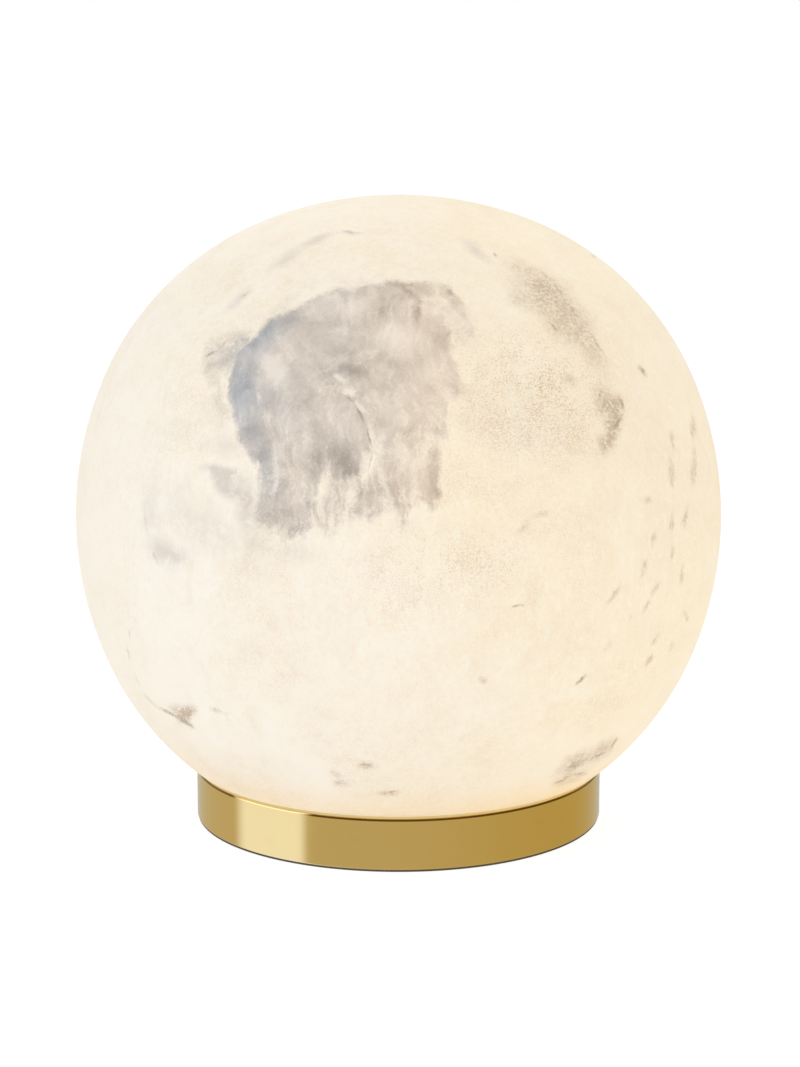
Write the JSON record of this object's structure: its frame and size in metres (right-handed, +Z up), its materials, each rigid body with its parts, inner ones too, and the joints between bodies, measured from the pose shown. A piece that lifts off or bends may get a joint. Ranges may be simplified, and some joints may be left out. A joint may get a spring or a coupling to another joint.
{
  "type": "rechargeable table lamp",
  "caption": "Cordless table lamp: a veined translucent stone globe, lit from inside, that lifts off a low round brass base with its light, cells and charger inside.",
  "frame": {"origin": "centre of the underside of the foot ring, where the lamp rests", "axes": "+Z up along the axis of the globe and the base, +Y to the rear, where the charging port and the button are, -Y to the front"},
  "size_m": [0.2, 0.2, 0.1948],
  "materials": {
    "alabaster": "satin",
    "brass": "polished",
    "collar_steel": "satin",
    "plate_paint": "matte",
    "foot_rubber": "matte",
    "gasket_silicone": "matte",
    "screw_steel": "satin",
    "spacer_brass": "satin",
    "deck_aluminium": "satin",
    "magnet_nickel": "gloss",
    "link_nickel": "satin",
    "stem_paint": "matte",
    "cell_wrap": "satin",
    "holder_plastic": "matte",
    "thermal_silicone": "matte",
    "light_board": "satin",
    "phosphor": "satin",
    "opal_plastic": "satin",
    "circuit_board": "satin",
    "port_steel": "satin",
    "black_plastic": "matte",
    "chip_plastic": "matte",
    "capacitor_ceramic": "satin",
    "connector_nylon": "satin",
    "clear_plastic": "gloss",
    "red_lead": "satin",
    "black_lead": "satin"
  },
  "bodies": {
    "base": {"base_band": "brass", "base_plate": "plate_paint", "foot_ring": "foot_rubber", "seat_gasket": "gasket_silicone", "plate_screws": "screw_steel", "deck_screws": "screw_steel", "stem_screws": "screw_steel", "board_screws": "screw_steel", "led_board_screws": "screw_steel", "plate_pillars": "spacer_brass", "board_spacers": "spacer_brass", "deck_plate": "deck_aluminium", "led_heat_sink": "deck_aluminium", "retention_magnets": "magnet_nickel", "cell_link_bottom": "link_nickel", "cell_link_top": "link_nickel", "stem_tube": "stem_paint", "diffuser_ring": "stem_paint", "battery_cell_left": "cell_wrap", "battery_cell_right": "cell_wrap", "holder_bottom": "holder_plastic", "holder_top": "holder_plastic", "thermal_pad": "thermal_silicone", "led_board": "light_board", "led_chips": "phosphor", "status_led": "phosphor", "diffuser_dome": "opal_plastic", "main_board": "circuit_board", "usb_port_shell": "port_steel", "usb_port_insert": "black_plastic", "port_bezel": "black_plastic", "button_guide": "black_plastic", "charge_controller": "chip_plastic", "led_driver_chip": "chip_plastic", "power_inductor": "chip_plastic", "switch_body": "chip_plastic", "board_capacitors": "capacitor_ceramic", "battery_connector": "connector_nylon", "led_connector": "connector_nylon", "status_light_pipe": "clear_plastic", "battery_lead_positive": "red_lead", "led_lead_positive": "red_lead", "battery_lead_negative": "black_lead", "led_lead_negative": "black_lead"},
    "globe": {"alabaster_globe": "alabaster", "globe_collar": "collar_steel"},
    "button": {"power_button": "brass", "switch_plunger": "black_plastic"}
  },
  "joints": [
    {"name": "globe_lift", "type": "slide", "parent": "base", "child": "globe", "axis": [0, 0, 1], "range_m": [0, 0.125]},
    {"name": "button_press", "type": "slide", "parent": "base", "child": "button", "axis": [-0.4067, -0.9135, 0], "range_m": [0, 0.0006], "stiffness_N_per_m": 1500, "springref_m": -0.0006}
  ]
}
